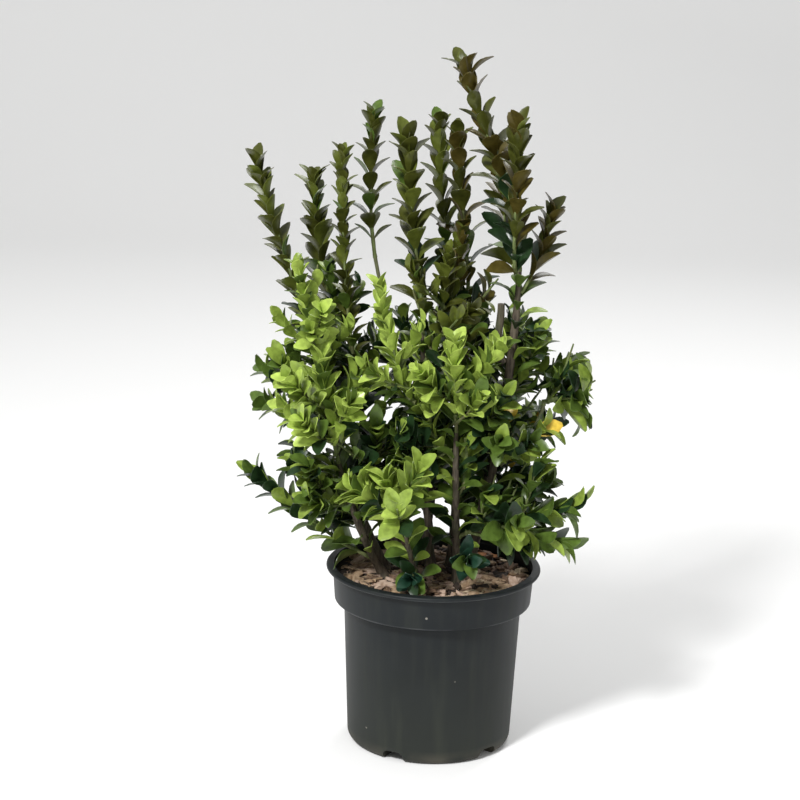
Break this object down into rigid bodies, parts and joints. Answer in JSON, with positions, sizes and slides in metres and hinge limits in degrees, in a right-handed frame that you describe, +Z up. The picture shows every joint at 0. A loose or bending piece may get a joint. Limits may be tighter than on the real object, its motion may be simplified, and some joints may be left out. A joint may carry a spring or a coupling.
{
  "type": "potted upright evergreen shrub",
  "caption": "Upright evergreen spindle shrub with slim leafy spires, standing in a round black nursery pot topped with bark mulch.",
  "frame": {"origin": "centre of the pot's flat underside, where the pot stands", "axes": "+Z up along the pot's axis and the stems, -Y towards the viewer of the picture, +X to the viewer's right"},
  "size_m": [0.367, 0.2798, 0.7465],
  "materials": {
    "pot plastic": "dusty black moulded plastic",
    "potting soil": "moist dark compost",
    "bark mulch": "rough chipped bark",
    "stem bark": "rough grey-brown bark",
    "spindle leaf": "waxy green leaf"
  },
  "bodies": {
    "root": {"pot": "pot plastic", "soil": "potting soil", "mulch": "bark mulch", "stem_right": "stem bark", "stem_front_right": "stem bark", "stem_front_left": "stem bark", "stem_front_low": "stem bark", "stem_left": "stem bark", "stem_middle_left": "stem bark", "stem_middle": "stem bark", "stem_back": "stem bark", "stem_back_right": "stem bark", "stem_back_left": "stem bark", "bough_right": "stem bark", "bough_slim": "stem bark", "stub_right": "stem bark", "spire_left_outer": "spindle leaf", "spire_left_rear": "spindle leaf", "spire_left_thick": "spindle leaf", "spire_slim": "spindle leaf", "spire_middle": "spindle leaf", "spire_middle_rear": "spindle leaf", "spire_right_rear": "spindle leaf", "spire_tallest": "spindle leaf", "spire_right_inner": "spindle leaf", "spire_right_front": "spindle leaf", "spire_right_small": "spindle leaf", "spray_right_upper": "spindle leaf", "spray_right_middle": "spindle leaf", "spray_right_low": "spindle leaf", "spray_left_low": "spindle leaf", "spire_front_left": "spindle leaf", "spire_front_right": "spindle leaf", "spire_leaning": "spindle leaf", "spire_left_front": "spindle leaf", "spray_left_middle": "spindle leaf", "spray_left_lower": "spindle leaf", "spire_front_low": "spindle leaf", "spray_front_middle": "spindle leaf", "spire_right_middle": "spindle leaf", "spire_centre": "spindle leaf", "spire_centre_right": "spindle leaf", "spire_left_inner": "spindle leaf", "spray_right_inner": "spindle leaf", "spray_centre": "spindle leaf", "spire_back_left": "spindle leaf", "spire_back": "spindle leaf", "spire_back_right": "spindle leaf", "spray_back_far_right": "spindle leaf", "spray_back_low_right": "spindle leaf", "spray_back_low_left": "spindle leaf", "spray_back_low": "spindle leaf", "spray_right_back": "spindle leaf", "spray_low_front": "spindle leaf", "spray_low_front_right": "spindle leaf", "spray_low_right": "spindle leaf", "spray_low_left": "spindle leaf", "spray_low_back": "spindle leaf"}
  },
  "joints": []
}
